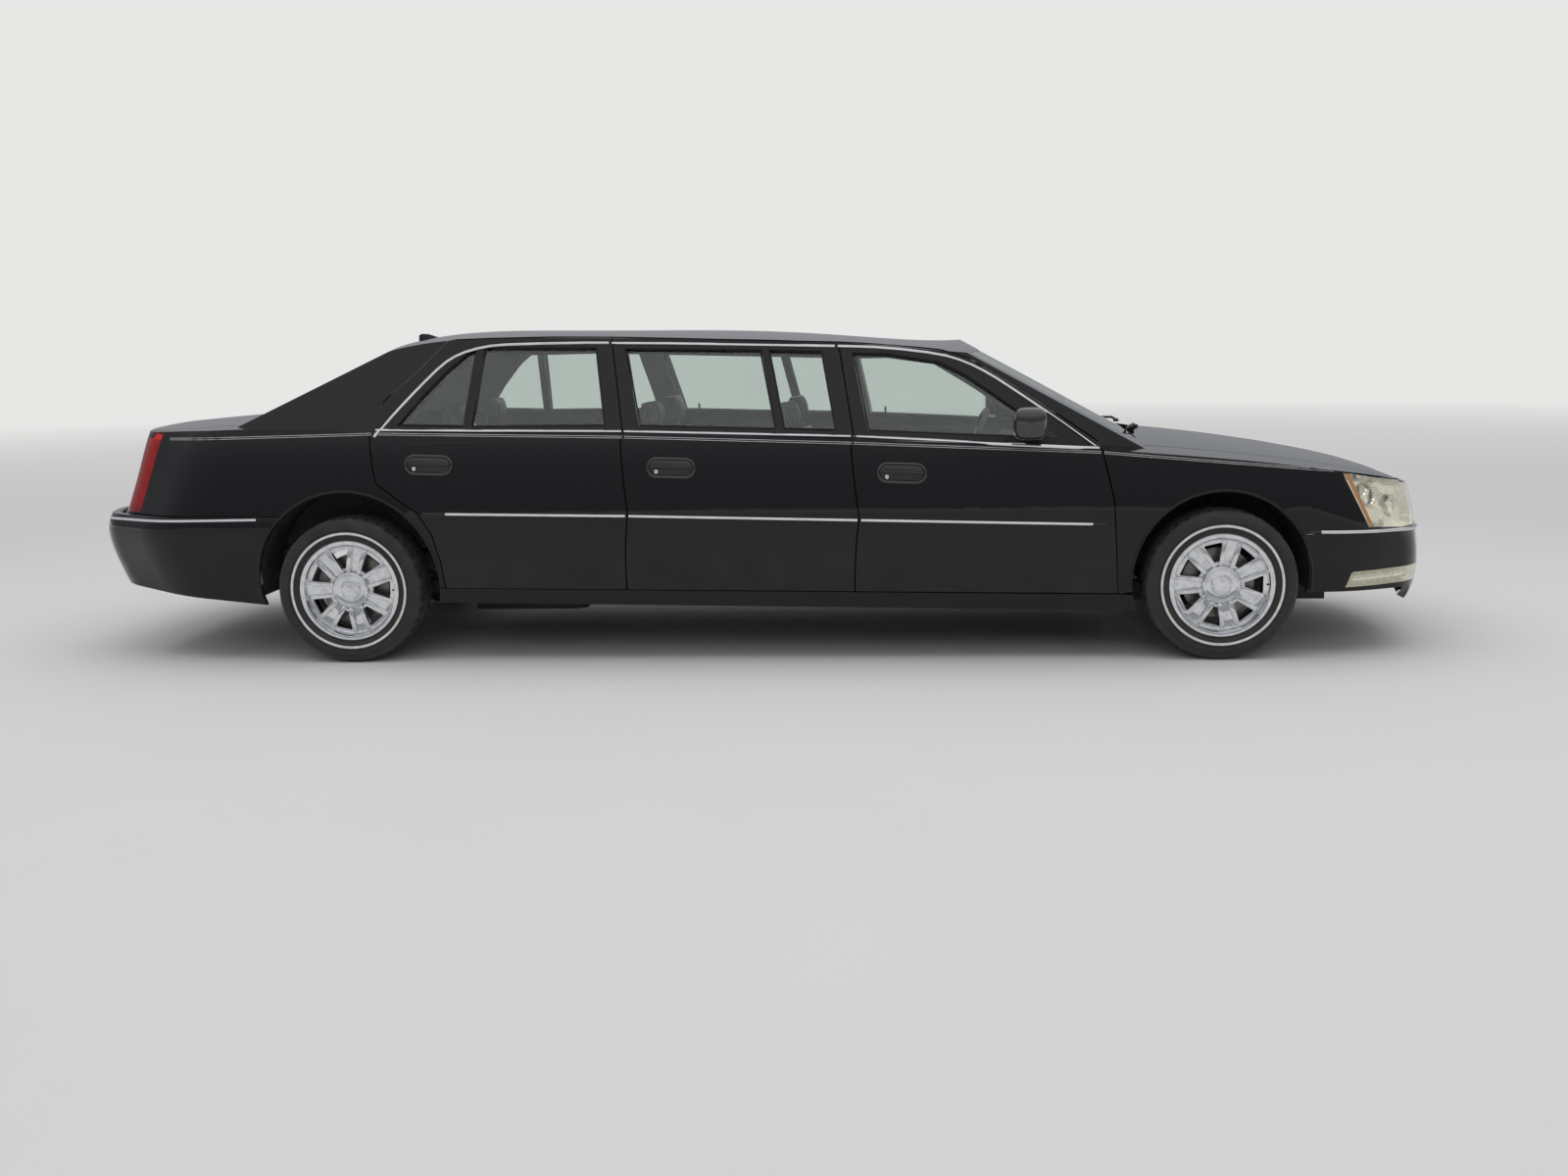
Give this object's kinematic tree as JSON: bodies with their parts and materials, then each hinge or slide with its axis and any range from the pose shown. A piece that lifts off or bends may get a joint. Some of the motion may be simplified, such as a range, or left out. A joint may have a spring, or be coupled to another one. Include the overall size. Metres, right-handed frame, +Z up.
{
  "type": "stretch limousine",
  "caption": "Long black sedan body with three doors a side, chrome window lines, steered front wheels, opening hood, trunk and doors.",
  "frame": {"origin": "on the ground under the centre of the bounding box", "axes": "+X towards the front, +Y towards the left side, +Z up"},
  "size_m": [6.3434, 2.14, 1.5207],
  "materials": {
    "paint_black": "high gloss black paint",
    "chrome": "polished chrome",
    "tyre": "black rubber",
    "white_band": "white sidewall band",
    "tinted_glass": "lightly tinted glass",
    "lamp_lens": "clear lamp lens, a little yellowed",
    "lamp_amber": "amber reflector",
    "lamp_red": "red tail lamp lens",
    "seat_leather": "black leather",
    "dash_plastic": "soft black plastic",
    "headliner": "grey woven headliner",
    "carpet": "black carpet",
    "underbody": "dull black underbody coating",
    "chassis_steel": "bare cast and pressed steel",
    "exhaust_steel": "dull steel",
    "engine_metal": "cast metal",
    "trim_black": "satin black trim",
    "stripe_silver": "silver pinstripe",
    "mirror_face": "mirror glass",
    "plate_blank": "blank plate"
  },
  "bodies": {
    "body": {"floor_pan": "underbody", "sills": "paint_black", "roof": "paint_black", "pillars": "paint_black", "rear_quarters": "paint_black", "front_fenders": "paint_black", "front_bumper": "paint_black", "rear_bumper": "paint_black", "grille": "chrome", "fixed_glass": "tinted_glass", "front_lamps": "lamp_lens", "tail_lamps": "lamp_red", "front_seats": "seat_leather", "middle_seat": "seat_leather", "rear_seat": "seat_leather", "dashboard": "dash_plastic", "engine": "engine_metal", "front_subframe": "chassis_steel", "rear_suspension": "chassis_steel", "exhaust": "exhaust_steel", "fuel_tank": "underbody"},
    "knuckle_right": {"knuckle_right": "chassis_steel"},
    "door_front_right": {"door_front_right": "paint_black", "glass_front_right": "tinted_glass", "mirror_right": "paint_black"},
    "door_middle_right": {"door_middle_right": "paint_black", "glass_middle_right": "tinted_glass"},
    "door_rear_right": {"door_rear_right": "paint_black", "glass_rear_right": "tinted_glass"},
    "knuckle_left": {"knuckle_left": "chassis_steel"},
    "door_front_left": {"door_front_left": "paint_black", "glass_front_left": "tinted_glass", "mirror_left": "paint_black"},
    "door_middle_left": {"door_middle_left": "paint_black", "glass_middle_left": "tinted_glass"},
    "door_rear_left": {"door_rear_left": "paint_black", "glass_rear_left": "tinted_glass"},
    "wheel_fr": {"wheel_fr": "chrome", "tyre_fr": "tyre"},
    "wheel_fl": {"wheel_fl": "chrome", "tyre_fl": "tyre"},
    "wheel_rr": {"wheel_rr": "chrome", "tyre_rr": "tyre"},
    "wheel_rl": {"wheel_rl": "chrome", "tyre_rl": "tyre"},
    "steering_wheel": {"steering_wheel": "dash_plastic"},
    "hood": {"hood": "paint_black"},
    "trunk_lid": {"trunk_lid": "paint_black"}
  },
  "joints": [
    {"name": "door_front_right_hinge", "type": "hinge", "parent": "body", "child": "door_front_right", "pos_m": [1.625, -0.95, 0.6], "axis": [0, 0, 1], "range_deg": [0, 65]},
    {"name": "door_middle_right_hinge", "type": "hinge", "parent": "body", "child": "door_middle_right", "pos_m": [0.482, -0.95, 0.6], "axis": [0, 0, 1], "range_deg": [0, 65]},
    {"name": "door_rear_right_hinge", "type": "hinge", "parent": "body", "child": "door_rear_right", "pos_m": [-0.563, -0.95, 0.6], "axis": [0, 0, 1], "range_deg": [0, 65]},
    {"name": "door_front_left_hinge", "type": "hinge", "parent": "body", "child": "door_front_left", "pos_m": [1.625, 0.95, 0.6], "axis": [0, 0, -1], "range_deg": [0, 65]},
    {"name": "door_middle_left_hinge", "type": "hinge", "parent": "body", "child": "door_middle_left", "pos_m": [0.482, 0.95, 0.6], "axis": [0, 0, -1], "range_deg": [0, 65]},
    {"name": "door_rear_left_hinge", "type": "hinge", "parent": "body", "child": "door_rear_left", "pos_m": [-0.563, 0.95, 0.6], "axis": [0, 0, -1], "range_deg": [0, 65]},
    {"name": "wheel_fr_spin", "type": "hinge", "parent": "knuckle_right", "child": "wheel_fr", "pos_m": [2.125, -0.795, 0.34], "axis": [0, 1, 0], "continuous": true},
    {"name": "wheel_fl_spin", "type": "hinge", "parent": "knuckle_left", "child": "wheel_fl", "pos_m": [2.125, 0.795, 0.34], "axis": [0, 1, 0], "continuous": true},
    {"name": "wheel_rr_spin", "type": "hinge", "parent": "body", "child": "wheel_rr", "pos_m": [-1.86, -0.795, 0.34], "axis": [0, 1, 0], "continuous": true},
    {"name": "wheel_rl_spin", "type": "hinge", "parent": "body", "child": "wheel_rl", "pos_m": [-1.86, 0.795, 0.34], "axis": [0, 1, 0], "continuous": true},
    {"name": "steer_right", "type": "hinge", "parent": "body", "child": "knuckle_right", "pos_m": [2.125, -0.722, 0.34], "axis": [0, 0, 1], "range_deg": [-33, 33]},
    {"name": "steer_left", "type": "hinge", "parent": "body", "child": "knuckle_left", "pos_m": [2.125, 0.722, 0.34], "axis": [0, 0, 1], "range_deg": [-33, 33]},
    {"name": "steering_wheel_turn", "type": "hinge", "parent": "body", "child": "steering_wheel", "pos_m": [1.085, 0.375, 0.905], "axis": [-0.9135, 0, 0.4067], "range_deg": [-495, 495]},
    {"name": "hood_hinge", "type": "hinge", "parent": "body", "child": "hood", "pos_m": [1.704, 0, 0.968], "axis": [0, -1, 0], "range_deg": [0, 50]},
    {"name": "trunk_lid_hinge", "type": "hinge", "parent": "body", "child": "trunk_lid", "pos_m": [-2.303, 0, 1.104], "axis": [0, 1, 0], "range_deg": [0, 70]}
  ],
  "couplings": [
    {"joint": "steer_left", "follows": "steer_right", "ratio": 1},
    {"joint": "steering_wheel_turn", "follows": "steer_right", "ratio": 15}
  ]
}
